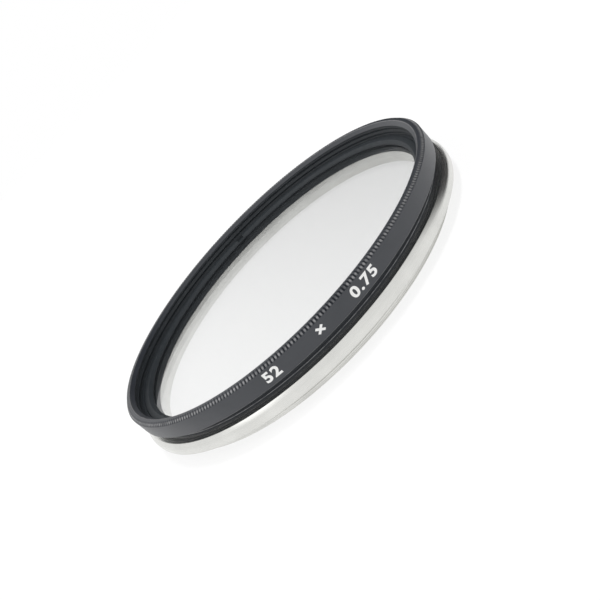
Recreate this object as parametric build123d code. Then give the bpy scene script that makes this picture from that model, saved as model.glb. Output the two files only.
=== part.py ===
from build123d import *
import os
from math import cos, pi, sin

# A screw-in lens filter lying on its rear: +Z is the optical axis, towards the front, and
# the origin is the centre of the rear face. Lengths are in millimetres.

# Filter thread: male behind the mount ring, female in the front ring's mouth
thread_diameter = 52.0
thread_pitch = 0.75
thread_depth_share = 0.5413  # radial depth of a metric thread over its pitch

# Mount ring, of bare aluminium
mount_thread_length = 1.5
mount_lead_in = 0.25
relief_width = 0.25
relief_depth = 0.5
land_step = 1.5  # the land stands this far outside the thread
land_height = 1.53
land_shoulder = 0.55
land_edge = 0.12

# Front ring, of black anodised aluminium: spigot, neck, lettering band and rim
grip_wall = 1.0  # from the thread's nominal surface to the lettering band
neck_depth = 1.0  # from the lettering band in to the neck
neck_height = 1.3
neck_groove_first = 0.53  # from the land up to the first turned groove
neck_groove_pitch = 0.5
neck_groove_width = 0.26
neck_groove_depth = 0.12
band_height = 2.17
band_edge = 0.12
mouth_step = 0.1  # the mouth's countersink opens this far past the thread
spigot_step = 0.5  # from the neck in to the spigot
spigot_length = 1.07
spigot_play = 0.05

# Knurled front edge, which tapers from the lettering band to the rim
knurl_teeth = 360
knurl_height = 0.4
knurl_taper = 0.35
knurl_depth = 0.2
knurl_crest_share = 0.4  # of a tooth's pitch, where its top is flat
knurl_drop = 0.05  # the crests start this far inside the lettering band

# Glass and the ledge that carries it
cell_wall = 0.95  # of the neck, around the glass
glass_play = 0.05
glass_thickness = 1.6
glass_edge = 0.2
ledge_width = 1.0
ledge_thickness = 0.8

# Retaining ring, screwed down on the glass from the front
retainer_thickness = 0.55
retainer_step = 0.35  # from the front thread's hole in to the retaining ring's own
retainer_play = 0.05
retainer_grip = 0.1  # the cell's step lies this far below the face of the glass
retainer_edge = 0.4
spanner_slot_width = 1.2
spanner_slot_depth = 0.35

# Radii that follow
thread_major = thread_diameter / 2
thread_minor = thread_major - thread_depth_share * thread_pitch
land_radius = thread_major + land_step
grip_radius = thread_major + grip_wall
mouth_radius = thread_major + mouth_step
neck_radius = grip_radius - neck_depth
spigot_radius = neck_radius - spigot_step
cell_radius = neck_radius - cell_wall
glass_radius = cell_radius - glass_play
aperture_radius = glass_radius - ledge_width
retainer_hole_radius = thread_minor - retainer_step
knurl_radius = grip_radius - knurl_drop

# Heights that follow, from the rear face to the front rim
land_bottom = mount_thread_length
land_top = land_bottom + land_height
band_bottom = land_top + neck_height
band_top = band_bottom + band_height
front = band_top + knurl_height
spigot_bottom = land_top - spigot_length
ledge_top = spigot_bottom + ledge_thickness
glass_top = ledge_top + glass_thickness
cell_top = glass_top - retainer_grip
retainer_top = glass_top + retainer_thickness


def turned(*corners):
    """Solid turned about Z from the (radius, height) corners of its half-section."""
    return revolve(Plane.XZ * make_face(Polyline(*corners, close=True)), Axis.Z)


def neck_corners():
    """Corners of the turned grooves up the neck, as many as its height takes."""
    corners = []
    grooves = int((neck_height - neck_groove_first) / neck_groove_pitch)
    for groove in range(grooves):
        middle = land_top + neck_groove_first + groove * neck_groove_pitch
        corners.append((neck_radius, middle - neck_groove_width / 2))
        corners.append((neck_radius - neck_groove_depth, middle))
        corners.append((neck_radius, middle + neck_groove_width / 2))
    return corners


def toothed_disc(crest_radius, height):
    """Flat disc at a height, with a straight knurl's flat-topped teeth as its outline."""
    root_radius = crest_radius - knurl_depth
    root_share = (1 + knurl_crest_share) / 2
    outline = ((0, crest_radius), (knurl_crest_share, crest_radius), (root_share, root_radius))
    points = []
    for tooth in range(knurl_teeth):
        for share, radius in outline:
            angle = 2 * pi * (tooth + share) / knurl_teeth
            points.append((radius * cos(angle), radius * sin(angle)))
    return Pos(0, 0, height) * make_face(Polyline(*points, close=True))


def knurled_edge():
    """Toothed frustum between the lettering band and the rim."""
    rim_disc = toothed_disc(knurl_radius - knurl_taper, front)
    return loft([toothed_disc(knurl_radius, band_top), rim_disc], ruled=True)


def front_ring():
    """Glass cell with the neck, the lettering band, the knurled rim and the front thread's hole."""
    outside = turned(
        (0, spigot_bottom),
        (spigot_radius, spigot_bottom),
        (spigot_radius, land_top),
        (neck_radius, land_top),
        *neck_corners(),
        (neck_radius, band_bottom),
        (grip_radius - band_edge, band_bottom),
        (grip_radius, band_bottom + band_edge),
        (grip_radius, band_top),
        (0, band_top),
    )
    cavity = turned(
        (0, 0),
        (aperture_radius, 0),
        (aperture_radius, ledge_top),
        (cell_radius, ledge_top),
        (cell_radius, cell_top),
        (retainer_hole_radius, cell_top),
        (retainer_hole_radius, retainer_top),
        (thread_minor, retainer_top),
        (thread_minor, front - (mouth_radius - thread_minor)),
        (mouth_radius, front),
        (mouth_radius, front + knurl_height),
        (0, front + knurl_height),
    )
    return outside + knurled_edge() - cavity


def mount_ring():
    """Bright rear ring: the mounting thread, its relief, and the land that stops against the lens."""
    counterbore_radius = spigot_radius + spigot_play
    counterbore_bottom = spigot_bottom - spigot_play
    relief_radius = thread_major - relief_depth
    return turned(
        (aperture_radius, 0),
        (thread_major - mount_lead_in, 0),
        (thread_major, mount_lead_in),
        (thread_major, land_bottom - relief_width),
        (relief_radius, land_bottom - relief_width),
        (relief_radius, land_bottom),
        (land_radius - land_edge, land_bottom),
        (land_radius, land_bottom + land_edge),
        (land_radius, land_top - land_shoulder),
        (land_radius - land_shoulder, land_top),
        (counterbore_radius, land_top),
        (counterbore_radius, counterbore_bottom),
        (aperture_radius, counterbore_bottom),
    )


def glass_disc():
    """Plane-parallel glass with ground edges."""
    return turned(
        (0, ledge_top),
        (glass_radius - glass_edge, ledge_top),
        (glass_radius, ledge_top + glass_edge),
        (glass_radius, glass_top - glass_edge),
        (glass_radius - glass_edge, glass_top),
        (0, glass_top),
    )


def retaining_ring():
    """Thin ring with two spanner slots across its front face."""
    outer_radius = retainer_hole_radius - retainer_play
    ring = turned(
        (aperture_radius, glass_top),
        (outer_radius, glass_top),
        (outer_radius, retainer_top),
        (aperture_radius + retainer_edge, retainer_top),
        (aperture_radius, retainer_top - retainer_edge),
    )
    return ring - Pos(0, 0, retainer_top) * Box(spanner_slot_width, thread_diameter, 2 * spanner_slot_depth)


pieces = {
    "mount_ring": mount_ring(),
    "front_ring": front_ring(),
    "filter_glass": glass_disc(),
    "retaining_ring": retaining_ring(),
}
os.makedirs("parts", exist_ok=True)
for name, piece in pieces.items():
    export_step(piece, f"parts/{name}.step")
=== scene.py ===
from collections import namedtuple
from math import asin, cos, pi, radians, sin, tau

import bpy
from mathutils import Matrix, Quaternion, Vector


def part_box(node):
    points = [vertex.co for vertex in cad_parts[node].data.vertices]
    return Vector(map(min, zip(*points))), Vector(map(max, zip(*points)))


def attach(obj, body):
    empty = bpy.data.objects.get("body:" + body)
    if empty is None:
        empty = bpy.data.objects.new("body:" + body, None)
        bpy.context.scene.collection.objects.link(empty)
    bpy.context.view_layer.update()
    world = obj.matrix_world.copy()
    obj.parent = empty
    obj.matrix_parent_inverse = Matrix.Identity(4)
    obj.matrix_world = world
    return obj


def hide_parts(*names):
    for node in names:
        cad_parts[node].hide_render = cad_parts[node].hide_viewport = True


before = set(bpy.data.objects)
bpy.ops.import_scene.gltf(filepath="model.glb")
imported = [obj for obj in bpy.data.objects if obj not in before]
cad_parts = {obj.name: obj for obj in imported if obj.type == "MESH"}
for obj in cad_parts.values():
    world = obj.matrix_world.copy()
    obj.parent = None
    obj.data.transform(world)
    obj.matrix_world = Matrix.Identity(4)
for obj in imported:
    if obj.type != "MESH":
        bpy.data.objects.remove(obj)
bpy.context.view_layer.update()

# The looks of a screw-in lens filter that lies on its rear, front up. The sizes are in
# millimetres, and MM takes them to Blender's metres.

MM = 0.001


def box_mm(node):
    """Lowest and highest corner of a CAD node, in millimetres."""
    return [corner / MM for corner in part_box(node)]


# Sizes read from the frame
front_low, front_high = box_mm("front_ring")
glass_low, glass_high = box_mm("filter_glass")
mount_high = box_mm("mount_ring")[1]
retainer_high = box_mm("retaining_ring")[1]
grip_radius = front_high.x
land_radius = mount_high.x
glass_radius = glass_high.x
retainer_radius = retainer_high.x
spigot_bottom, front = front_low.z, front_high.z
land_top = mount_high.z
ledge_top, glass_top = glass_low.z, glass_high.z
retainer_top = retainer_high.z

# Sizes repeated from the part's design
thread_pitch = 0.75
thread_depth = 0.406
grip_wall = 1.0  # from the thread's nominal surface to the lettering band
neck_depth = 1.0
neck_height = 1.3
groove_above_land = 0.53
groove_width = 0.26
groove_depth = 0.12
band_height = 2.17
band_edge = 0.12
knurl_teeth = 360
knurl_taper = 0.35
knurl_depth = 0.2
knurl_crest_share = 0.4  # of a tooth's pitch, where its top is flat
knurl_drop = 0.05  # the crests start this far inside the lettering band
mouth_step = 0.1
spigot_step = 0.5
spigot_play = 0.05
glass_play = 0.05
glass_edge = 0.2
ledge_width = 1.0
retainer_play = 0.05
retainer_grip = 0.1
retainer_edge = 0.4
spanner_slot_width = 1.2
spanner_slot_depth = 0.35
land_bottom = 1.5
land_shoulder = 0.55
land_edge = 0.12
lead_in = 0.25
relief_width = 0.25
relief_depth = 0.5

# Radii and heights that follow
thread_major = grip_radius - grip_wall
thread_minor = thread_major - thread_depth
neck_radius = grip_radius - neck_depth
knurl_radius = grip_radius - knurl_drop
mouth_radius = thread_major + mouth_step
spigot_radius = neck_radius - spigot_step
counterbore_radius = spigot_radius + spigot_play
cell_radius = glass_radius + glass_play
aperture_radius = glass_radius - ledge_width
retainer_hole_radius = retainer_radius + retainer_play
relief_radius = thread_major - relief_depth
relief_bottom = land_bottom - relief_width
counterbore_bottom = spigot_bottom - spigot_play
cell_top = glass_top - retainer_grip
groove_middle = land_top + groove_above_land
band_bottom = land_top + neck_height
band_top = band_bottom + band_height
knurl_height = front - band_top
countersink_bottom = front - (mouth_radius - thread_minor)

# Only in the looks
thread_cut = 0.2  # depth of the groove that the thread's rounded wave leaves
thread_run_out = 0.15  # share of a thread, at each end, over which its groove fades out
neck_foot = 0.15  # height of the satin strip at the foot of the neck, whose rounded edge carries a painted glint

# How finely the turned meshes are divided
mount_columns = 720
inner_columns = 360  # of the glass and the retaining ring
fillet_steps = 3
fillet_share = 0.45  # of a side, which a rounding takes at most
thread_row_gap = 0.05
slot_wall_angle = 0.0005  # half of what lies between the top and the foot of a slot's wall
sharp_angle = radians(35)
tooth_shares = (0, knurl_crest_share, (1 + knurl_crest_share) / 2)  # crest, crest and root
root_column = 2  # of the three to a tooth, counted from 0

# A corner of a half-section: fillet is how far its rounding reaches along each side, tooth is
# how deep the knurl cuts in there, the field after it lightens the teeth's crests to scuffed bare
# metal that also paints their highlight, and finish is the number of the material that follows it.
corner_fields = "radius height fillet tooth rubbed finish"
Corner = namedtuple("Corner", corner_fields, defaults=(0.0, 0.0, 0.0, 0))
# A row of a turned mesh: the third field is 1 in the middle of a rounded edge, drawn as scuffed bare
# metal that is also a painted glint, and groove is how far a thread's groove goes outwards there.
row_fields = "radius height wear tooth rubbed finish groove"
Row = namedtuple("Row", row_fields, defaults=(0.0, 0.0, 0.0, 0, 0.0))


def rounded(corners):
    """Rows of a half-section, in order, with its corners rounded."""
    rows = []
    befores = corners[-1:] + corners[:-1]
    afters = corners[1:] + corners[:1]
    for before, here, after in zip(befores, corners, afters):
        surface = (here.tooth, here.rubbed, here.finish)
        if not here.fillet:
            rows.append(Row(here.radius, here.height, 0.0, *surface))
            continue
        point = Vector(here[:2])
        back = Vector(before[:2]) - point
        ahead = Vector(after[:2]) - point
        reach = min(here.fillet, fillet_share * back.length, fillet_share * ahead.length)
        start = point + reach * back.normalized()
        end = point + reach * ahead.normalized()
        for step in range(fillet_steps + 1):
            share = step / fillet_steps
            spot = start * (1 - share) ** 2 + point * 2 * share * (1 - share) + end * share**2
            wear = 0.0 if here.tooth else 4 * share * (1 - share)
            rows.append(Row(spot.x, spot.y, wear, *surface))
    return rows


def threaded(rows, radius, start, end, groove, finish=0):
    """Rows with a thread in the wall that goes from one height to another at a radius.
    The thread's groove runs out at both ends."""
    count = round(abs(end - start) / thread_row_gap)
    thread = []
    for step in range(1, count):
        share = step / count
        fade = min(1.0, share / thread_run_out, (1 - share) / thread_run_out)
        height = start + share * (end - start)
        thread.append(Row(radius, height, finish=finish, groove=groove * fade))
    place = next(i for i, row in enumerate(rows) if row[:2] == (radius, end))
    return rows[:place] + thread + rows[place:]


def thread_wave(height, angle):
    """0 on a right-handed thread's crest and 1 in its groove."""
    return 0.5 - 0.5 * cos(tau * height / thread_pitch - angle)


def in_root(column):
    """Whether a knurled ring's column runs down between two teeth."""
    return column % len(tooth_shares) == root_column


def turned_shape(row, column, angle):
    """Radius and height of a row at a column, with the knurl's teeth and the thread."""
    radius = row.radius
    if in_root(column):
        radius -= row.tooth
    if row.groove:
        radius += row.groove * thread_wave(row.height, angle)
    return radius, row.height


def knurl_angles():
    """Angles of the columns that a knurled ring needs: three to a tooth."""
    pitch = tau / knurl_teeth
    return [(tooth + share) * pitch for tooth in range(knurl_teeth) for share in tooth_shares]


def even_angles(count):
    """Angles of evenly spaced columns, half a step off the X axis."""
    return [(column + 0.5) * tau / count for column in range(count)]


def turned_mesh(name, rows, angles, shape=turned_shape, capped=False):
    """Mesh turned about Z, from the rows of its half-section in counter-clockwise order.
    A capped mesh is a disc: flat faces close it inside its first and last row."""
    vertices = []
    wear_and_glint_values = []
    for column, angle in enumerate(angles):
        for row in rows:
            radius, height = shape(row, column, angle)
            vertices.append((radius * MM * cos(angle), radius * MM * sin(angle), height * MM))
            wear_and_glint_values.append(row.wear if in_root(column) else max(row.wear, row.rubbed))
    depth = len(rows)
    faces = []
    finishes = []
    for column in range(len(angles)):
        here = column * depth
        there = (column + 1) % len(angles) * depth
        for row in range(depth - 1 if capped else depth):
            above = (row + 1) % depth
            faces.append((here + row, there + row, there + above, here + above))
            finishes.append(rows[row].finish)
    if capped:
        first = [column * depth for column in range(len(angles))]
        faces.append(first[::-1])
        faces.append([corner + depth - 1 for corner in first])
        finishes.extend((rows[0].finish, rows[-1].finish))
    mesh = bpy.data.meshes.new(name)
    mesh.from_pydata(vertices, [], faces)
    mesh.shade_smooth()
    mesh.polygons.foreach_set("material_index", finishes)
    mesh.set_sharp_from_angle(angle=sharp_angle)
    # 1 in the middle of each rounded edge: scuffed bare metal there, and a painted glint on the
    #                                       neck's recessed edges
    wear = mesh.attributes.new("wear", "FLOAT", "POINT")
    wear.data.foreach_set("value", wear_and_glint_values)
    return mesh


def add_piece(name, mesh, materials, replaced=None):
    """Puts a mesh in the scene as a piece of the object."""
    piece = bpy.data.objects.new(name, mesh)
    bpy.context.scene.collection.objects.link(piece)
    for material in materials:
        mesh.materials.append(material)
    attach(piece, "root")
    if replaced:
        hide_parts(replaced)
        normals = piece.modifiers.new("area_weighted_normals", "WEIGHTED_NORMAL")
        normals.keep_sharp = True
    return piece


# Node helpers

# The Mix node's sockets for each kind of value: first, second and result
mix_sockets = {"RGBA": (6, 7, 2), "FLOAT": (2, 3, 0)}


def set_inputs(tree, node, values):
    """Sets inputs of a node, each to a number, a colour or the output socket that feeds it."""
    for socket, value in values.items():
        if isinstance(value, bpy.types.NodeSocket):
            tree.links.new(value, node.inputs[socket])
        else:
            node.inputs[socket].default_value = value


def add_node(tree, kind, values, **settings):
    """Adds a node with its inputs and settings."""
    node = tree.nodes.new(kind)
    for name, setting in settings.items():
        setattr(node, name, setting)
    set_inputs(tree, node, values)
    return node


def new_material(name):
    """A material with a Principled shader, as (material, node tree, shader)."""
    material = bpy.data.materials.new(name)
    material.use_nodes = True
    return material, material.node_tree, material.node_tree.nodes["Principled BSDF"]


def position(tree):
    """Place on the object, in metres."""
    return add_node(tree, "ShaderNodeTexCoord", {}).outputs["Object"]


def lathe_place(tree):
    """Radius and height as a vector, so that what follows it runs round the axis like tool marks."""
    spot = position(tree)
    flat = add_node(tree, "ShaderNodeVectorMath", {0: spot, 1: (1, 1, 0)}, operation="MULTIPLY")
    radius = add_node(tree, "ShaderNodeVectorMath", {0: flat.outputs[0]}, operation="LENGTH")
    height = add_node(tree, "ShaderNodeSeparateXYZ", {0: spot}).outputs["Z"]
    values = {"X": radius.outputs["Value"], "Y": height}
    return add_node(tree, "ShaderNodeCombineXYZ", values).outputs[0]


def noise(tree, vector, grain, detail=2.0):
    """Noise from 0 to 1 whose grain is about that many millimetres wide."""
    values = {"Vector": vector, "Scale": 1 / (grain * MM), "Detail": detail}
    return add_node(tree, "ShaderNodeTexNoise", values).outputs["Fac"]


def spread(tree, value, low=0.0, high=1.0, start=0.3, end=0.7):
    """Takes start..end of a value to low..high."""
    values = {"Value": value, "From Min": start, "From Max": end, "To Min": low, "To Max": high}
    return add_node(tree, "ShaderNodeMapRange", values).outputs["Result"]


def blend(tree, share, first, second, kind="RGBA"):
    """Colour or number between two, by a share from 0 to 1."""
    first_socket, second_socket, result = mix_sockets[kind]
    values = {"Factor": share, first_socket: first, second_socket: second}
    return add_node(tree, "ShaderNodeMix", values, data_type=kind).outputs[result]


def calculate(tree, operation, first, second):
    """Result of a sum on two values."""
    values = {0: first, 1: second}
    return add_node(tree, "ShaderNodeMath", values, operation=operation).outputs[0]


def bump(tree, height, depth, strength, under=None):
    """Normal of a surface whose bumps are up to that many millimetres deep."""
    values = {"Height": height, "Distance": depth * MM, "Strength": strength}
    if under:
        values["Normal"] = under
    return add_node(tree, "ShaderNodeBump", values).outputs["Normal"]


def wear_and_glint_mask(tree, grain, start, end):
    """1 on the rounded edges, in broken patches: scuffed by handling, and painted glints on the
    neck's recessed edges.
    """
    edge = add_node(tree, "ShaderNodeAttribute", {}, attribute_name="wear").outputs["Fac"]
    edge_middle = spread(tree, edge, start=0.5, end=0.9)
    patches = spread(tree, noise(tree, position(tree), grain, detail=4.0), start=start, end=end)
    return calculate(tree, "MULTIPLY", edge_middle, patches)


def rays(tree, *kinds):
    """1 on rays of these kinds, and 0 on others."""
    path = add_node(tree, "ShaderNodeLightPath", {}).outputs
    total = path[kinds[0]]
    for kind in kinds[1:]:
        total = calculate(tree, "MAXIMUM", total, path[kind])
    return total


# Materials


def black_anodised():
    """Satin black anodised aluminium: blasted grain, faint tool marks, and bare metal on scuffed
    edges and knurl crests that also paints their glints, most of all on the neck's recessed edges.
    """
    material, tree, shader = new_material("black_anodised")
    dark_dye = (0.0185, 0.022, 0.029, 1)
    light_dye = (0.0255, 0.029, 0.037, 1)
    # bare metal of scuffed edges and crests, which is also the painted glints
    bare_metal_and_glint = (0.3, 0.3, 0.305, 1)
    cloud = spread(tree, noise(tree, position(tree), grain=2.5, detail=3.0))
    dye = blend(tree, cloud, dark_dye, light_dye)
    # edges and crests lightened to bare metal: scuffs, and painted glints
    rubbed = wear_and_glint_mask(tree, grain=0.9, start=0.25, end=0.55)
    blasting = noise(tree, position(tree), grain=0.09)
    marks = noise(tree, lathe_place(tree), grain=0.07)
    blasted = bump(tree, blasting, depth=0.006, strength=0.35)
    values = {
        "Base Color": blend(tree, rubbed, dye, bare_metal_and_glint),
        "Metallic": rubbed,
        "Roughness": spread(tree, blasting, low=0.36, high=0.48),
        "Specular IOR Level": 0.72,
        "Normal": bump(tree, marks, depth=0.003, strength=0.25, under=blasted),
    }
    set_inputs(tree, shader, values)
    return material


def matt_black():
    """Flat black of the neck, the mouth, the glass cell and the retaining ring."""
    material, tree, shader = new_material("matt_black")
    dark_dye = (0.0185, 0.023, 0.027, 1)
    light_dye = (0.0245, 0.029, 0.0335, 1)
    cloud = spread(tree, noise(tree, position(tree), grain=1.2, detail=3.0))
    blasting = noise(tree, position(tree), grain=0.06)
    values = {
        "Base Color": blend(tree, cloud, dark_dye, light_dye),
        "Roughness": spread(tree, blasting, low=0.52, high=0.68),
        "Specular IOR Level": 0.4,
        "Normal": bump(tree, blasting, depth=0.006, strength=0.4),
    }
    set_inputs(tree, shader, values)
    return material


def bare_aluminium():
    """Bright turned aluminium with fine concentric tool marks."""
    material, tree, shader = new_material("bare_aluminium")
    dull_metal = (0.66, 0.66, 0.636, 1)
    clean_metal = (0.73, 0.73, 0.704, 1)
    marks = noise(tree, lathe_place(tree), grain=0.05, detail=3.0)
    haze = spread(tree, noise(tree, position(tree), grain=3.0, detail=3.0))
    tangent = add_node(tree, "ShaderNodeTangent", {}, direction_type="RADIAL", axis="Z")
    values = {
        "Base Color": blend(tree, haze, dull_metal, clean_metal),
        "Metallic": 1.0,
        "Roughness": spread(tree, marks, low=0.2, high=0.34),
        "Normal": bump(tree, marks, depth=0.002, strength=0.3),
        "Anisotropic": 0.6,
        "Anisotropic Rotation": 0.25,
        "Tangent": tangent.outputs[0],
    }
    set_inputs(tree, shader, values)
    return material


def coated_glass():
    """Polished glass with a faint bloom of dust."""
    material, tree, shader = new_material("coated_glass")
    dust = noise(tree, position(tree), grain=1.6, detail=5.0)
    values = {
        "Base Color": (0.925, 0.93, 0.928, 1),
        "Transmission Weight": 1.0,
        "IOR": 1.5,
        "Roughness": spread(tree, dust, low=0.0, high=0.02, start=0.55, end=0.9),
    }
    set_inputs(tree, shader, values)
    return material


def white_ink():
    """Thin printed ink, a little uneven."""
    material, tree, shader = new_material("white_ink")
    thin_ink = (0.9, 0.9, 0.89, 1)
    full_ink = (0.95, 0.95, 0.94, 1)
    patches = spread(tree, noise(tree, position(tree), grain=0.25, detail=3.0))
    values = {"Base Color": blend(tree, patches, thin_ink, full_ink), "Roughness": 0.5}
    set_inputs(tree, shader, values)
    return material


# Pieces


def front_ring_mesh():
    """Black ring: up the outside of its half-section, then down the inside. The neck and the
    inside are lined."""
    lined = 1  # the lining's number among the ring's materials
    knurl_middle = band_top + knurl_height / 2
    corners = [
        Corner(aperture_radius, spigot_bottom, fillet=0.04),
        Corner(spigot_radius, spigot_bottom),
        Corner(spigot_radius, land_top),
        # The foot of the neck, the lower side of its groove and the band's underside are satin
        # black, and their rounded edges get bare metal that paints glints there.
        Corner(neck_radius, land_top, fillet=0.1),
        Corner(neck_radius, land_top + neck_foot, finish=lined),
        Corner(neck_radius, groove_middle - groove_width / 2, fillet=0.05),
        Corner(neck_radius - groove_depth, groove_middle, fillet=0.02, finish=lined),
        Corner(neck_radius, groove_middle + groove_width / 2, fillet=0.03, finish=lined),
        Corner(neck_radius, band_bottom, fillet=0.05),
        Corner(grip_radius, band_bottom, fillet=band_edge),
        Corner(grip_radius, band_top),
        # The crests are lightened to bare metal: scuffed, and also a painted highlight of their
        # light strokes.
        Corner(knurl_radius, band_top, tooth=knurl_depth, rubbed=0.6),
        Corner(knurl_radius - knurl_taper / 2, knurl_middle, tooth=knurl_depth, rubbed=1.0),
        Corner(knurl_radius - knurl_taper, front, fillet=0.06, tooth=knurl_depth, rubbed=0.5),
        Corner(mouth_radius, front, fillet=0.12),
        Corner(thread_minor, countersink_bottom, finish=lined),
        Corner(thread_minor, retainer_top, finish=lined),
        Corner(retainer_hole_radius, retainer_top, fillet=0.03, finish=lined),
        Corner(retainer_hole_radius, cell_top, finish=lined),
        Corner(cell_radius, cell_top, finish=lined),
        Corner(cell_radius, ledge_top, finish=lined),
        Corner(aperture_radius, ledge_top, fillet=0.04, finish=lined),
    ]
    wall = (thread_minor, countersink_bottom, retainer_top)
    rows = threaded(rounded(corners), *wall, thread_cut, lined)
    return turned_mesh("front_ring", rows, knurl_angles())


def mount_ring_mesh():
    """Bright ring: up the outside of its half-section, then down the inside."""
    corners = [
        Corner(aperture_radius, 0.0, fillet=0.08),
        Corner(thread_major - lead_in, 0.0, fillet=0.05),
        Corner(thread_major, lead_in),
        Corner(thread_major, relief_bottom),
        Corner(relief_radius, relief_bottom),
        Corner(relief_radius, land_bottom),
        Corner(land_radius, land_bottom, fillet=land_edge),
        Corner(land_radius, land_top - land_shoulder, fillet=0.3),
        Corner(land_radius - land_shoulder, land_top, fillet=0.04),
        Corner(counterbore_radius, land_top),
        Corner(counterbore_radius, counterbore_bottom),
        Corner(aperture_radius, counterbore_bottom, fillet=0.04),
    ]
    rows = threaded(rounded(corners), thread_major, lead_in, relief_bottom, -thread_cut)
    return turned_mesh("mount_ring", rows, even_angles(mount_columns))


def retaining_ring_mesh():
    """Thin ring with two spanner slots across its front face, at the ends of the Y axis."""
    slot_half = asin(spanner_slot_width / 2 / retainer_radius)
    edges = [side + turn for turn in (pi / 2, 3 * pi / 2) for side in (-slot_half, slot_half)]
    walls = [edge + turn for edge in edges for turn in (-slot_wall_angle, slot_wall_angle)]
    angles = sorted(angle % tau for angle in walls + even_angles(inner_columns))

    def slotted(row, column, angle):
        """Radius and height of a row, which goes no higher than the floor within a slot."""
        from_axis = abs(angle % pi - pi / 2)
        floor_height = retainer_top - spanner_slot_depth
        return row.radius, min(row.height, floor_height) if from_axis < slot_half else row.height

    corners = [
        Corner(aperture_radius, glass_top),
        Corner(retainer_radius, glass_top),
        Corner(retainer_radius, retainer_top, fillet=0.04),
        Corner(aperture_radius + retainer_edge, retainer_top, fillet=0.03),
        Corner(aperture_radius, retainer_top - retainer_edge, fillet=0.03),
    ]
    return turned_mesh("retaining_ring", rounded(corners), angles, slotted)


def glass_mesh():
    """Plane-parallel disc with ground edges."""
    rows = [
        Row(glass_radius - glass_edge, ledge_top),
        Row(glass_radius, ledge_top + glass_edge),
        Row(glass_radius, glass_top - glass_edge),
        Row(glass_radius - glass_edge, glass_top),
    ]
    return turned_mesh("filter_glass", rows, even_angles(inner_columns), capped=True)


# Printed on the lettering band: the thread's size, in plain figures
figure_height = 1.3
figure_drop = 1.35  # from the rim down to the middle of the figures
figure_bold = 0.035  # how far the strokes are thickened, as a share of the type size
figure_spacing = 1.15  # between characters, against the type's own
figure_stretch = 1.2  # along the band
ink_thickness = 0.012
near_side = -90  # degrees round from the X axis
markings = {  # each with its text, and its degrees round from the near side
    "marking_left": ("52", -17.2),
    "marking_middle": ("×", -2.2),
    "marking_right": ("0.75", 12.2),
}


def type_mesh(name, text, type_size):
    """Flat mesh of a line of bold type, with its middle at the origin."""
    curve = bpy.data.curves.new(name, "FONT")
    curve.body = text
    curve.size = type_size
    curve.offset = figure_bold * type_size
    curve.extrude = ink_thickness / 2
    curve.space_character = figure_spacing
    curve.align_x = "CENTER"
    holder = bpy.data.objects.new(name, curve)
    bpy.context.scene.collection.objects.link(holder)
    bpy.context.view_layer.update()
    shown = holder.evaluated_get(bpy.context.evaluated_depsgraph_get())
    mesh = bpy.data.meshes.new_from_object(shown)
    bpy.data.objects.remove(holder)
    mesh.name = name
    return mesh


def wrap_on_band(mesh, degrees, middle):
    """Bends flat type round the lettering band, with its middle height on the figures' line."""
    for vertex in mesh.vertices:
        across, up, out = vertex.co
        angle = radians(near_side + degrees) + figure_stretch * across / grip_radius
        radius = (grip_radius + ink_thickness / 2 + out) * MM
        height = (front - figure_drop + up - middle) * MM
        vertex.co = (radius * cos(angle), radius * sin(angle), height)


def add_markings(material):
    """Prints the figures on the band, all at the type size that gives a figure its height."""
    trial = type_mesh("trial", "5", 1.0)
    heights = [vertex.co.y for vertex in trial.vertices]
    bpy.data.meshes.remove(trial)
    low, high = min(heights), max(heights)
    type_size = figure_height / (high - low)
    middle = type_size * (low + high) / 2
    for name, (text, degrees) in markings.items():
        mesh = type_mesh(name, text, type_size)
        wrap_on_band(mesh, degrees, middle)
        add_piece(name, mesh, [material])


# Camera, floor and light
camera_lens = 46.63
sensor_width = 36.0
camera_distance = 105.3  # from the middle of the front rim
camera_elevation = radians(17.14)
camera_aim = (-0.33, -20.34)  # from the middle of the front rim, in its plane
camera_roll = radians(46.45)
nearest_seen = 5.0
white = (1, 1, 1, 1)
floor_size = 4000.0
floor_albedo = 0.24
floor_glow = 0.79  # to the camera, and in what metal and glass show of it
floor_bounce = 0.65  # to everything else
sky_level = 0.85  # as light on the object, while the camera, metal and glass see 1
back_left, back_right = 1.0, 0.05  # how bright the studio's back is, against its front
back_start, back_end = -0.1, 0.3  # a direction's Y, over which the front passes into the back
back_side = 0.25  # a direction's X, at which the back has reached that side's level


def add_camera():
    """Camera at the photograph's place, rolled so that the ring rises to the right."""
    rim = Vector((0, 0, front))
    eye = rim + camera_distance * Vector((0, -cos(camera_elevation), sin(camera_elevation)))
    aim = rim + Vector((*camera_aim, 0))
    camera = bpy.data.objects.new("camera", bpy.data.cameras.new("camera"))
    camera.data.lens = camera_lens
    camera.data.sensor_width = sensor_width
    camera.data.clip_start = nearest_seen * MM
    camera.rotation_mode = "QUATERNION"
    camera.location = eye * MM
    level = (aim - eye).to_track_quat("-Z", "Y")
    camera.rotation_quaternion = level @ Quaternion((0, 0, 1), -camera_roll)
    bpy.context.scene.collection.objects.link(camera)
    bpy.context.scene.camera = camera


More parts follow.
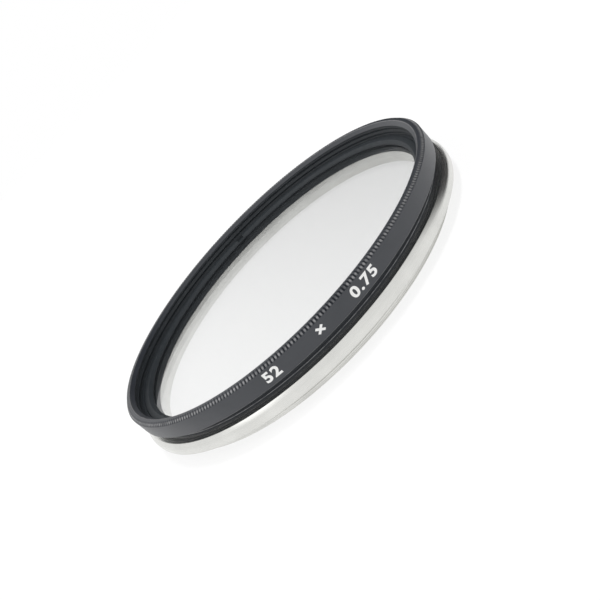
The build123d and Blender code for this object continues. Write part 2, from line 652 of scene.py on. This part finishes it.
def add_floor():
    """White table, lit from below as well, so that it stays white round a soft shadow."""
    mesh = bpy.data.meshes.new("floor")
    half = floor_size / 2 * MM
    corners = [(-half, -half, 0), (half, -half, 0), (half, half, 0), (-half, half, 0)]
    mesh.from_pydata(corners, [], [(0, 1, 2, 3)])
    table = bpy.data.objects.new("floor", mesh)
    bpy.context.scene.collection.objects.link(table)
    material = bpy.data.materials.new("white_table")
    material.use_nodes = True
    tree = material.node_tree
    tree.nodes.clear()
    grey = (floor_albedo, floor_albedo, floor_albedo, 1)
    paper = add_node(tree, "ShaderNodeBsdfDiffuse", {"Color": grey})
    seen = rays(tree, "Is Camera Ray", "Is Glossy Ray", "Is Transmission Ray")
    strength = spread(tree, seen, floor_bounce, floor_glow, start=0.0, end=1.0)
    glow = add_node(tree, "ShaderNodeEmission", {"Strength": strength})
    both = add_node(tree, "ShaderNodeAddShader", {0: paper.outputs[0], 1: glow.outputs[0]})
    add_node(tree, "ShaderNodeOutputMaterial", {"Surface": both.outputs[0]})
    mesh.materials.append(material)


def add_world():
    """White surroundings whose back darkens to the right, except to the camera."""
    world = bpy.data.worlds.new("studio")
    world.use_nodes = True
    bpy.context.scene.world = world
    tree = world.node_tree
    direction = add_node(tree, "ShaderNodeTexCoord", {}).outputs["Generated"]
    axes = add_node(tree, "ShaderNodeSeparateXYZ", {0: direction}).outputs
    behind = spread(tree, axes["Y"], start=back_start, end=back_end)
    back = spread(tree, axes["X"], back_left, back_right, start=-back_side, end=back_side)
    shade = blend(tree, behind, 1.0, back, "FLOAT")
    mirrored = rays(tree, "Is Glossy Ray", "Is Transmission Ray")
    level = spread(tree, mirrored, low=sky_level, start=0.0, end=1.0)
    graded = calculate(tree, "MULTIPLY", shade, level)
    strength = blend(tree, rays(tree, "Is Camera Ray"), graded, 1.0, "FLOAT")
    set_inputs(tree, tree.nodes["Background"], {"Color": white, "Strength": strength})


def add_light(name, kind, place, power):
    """Light that shines from a place towards the origin."""
    light = bpy.data.objects.new(name, bpy.data.lights.new(name, kind))
    light.data.energy = power
    light.rotation_mode = "QUATERNION"
    light.rotation_quaternion = (-Vector(place)).to_track_quat("-Z", "Y")
    bpy.context.scene.collection.objects.link(light)
    return light


def add_sun(name, place, power, width):
    """Distant lamp, as wide in the sky as an angle."""
    sun = add_light(name, "SUN", place, power)
    sun.data.angle = width
    sun.visible_glossy = sun.visible_transmission = False  # no white disc in the glass


def add_lamp(name, place, power, size):
    """Round soft lamp at a place."""
    lamp = add_light(name, "AREA", place, power)
    lamp.location = Vector(place) * MM
    lamp.data.shape = "DISK"
    lamp.data.size = size * MM


black = black_anodised()
bright = bare_aluminium()
lining = matt_black()
add_piece("front_ring_turned", front_ring_mesh(), [black, lining], "front_ring")
add_piece("mount_ring_turned", mount_ring_mesh(), [bright], "mount_ring")
add_piece("retaining_ring_turned", retaining_ring_mesh(), [lining], "retaining_ring")
disc = add_piece("glass_disc", glass_mesh(), [coated_glass()], "filter_glass")
disc.visible_shadow = disc.visible_diffuse = False  # light reaches the table through it
add_markings(white_ink())

add_camera()
add_floor()
add_world()
add_sun("key", place=(0.13, 0.2, 0.97), power=1.2, width=radians(10))
add_lamp("left", place=(-145, -20, 190), power=0.025, size=120)
bpy.context.scene.view_settings.view_transform = "Standard"
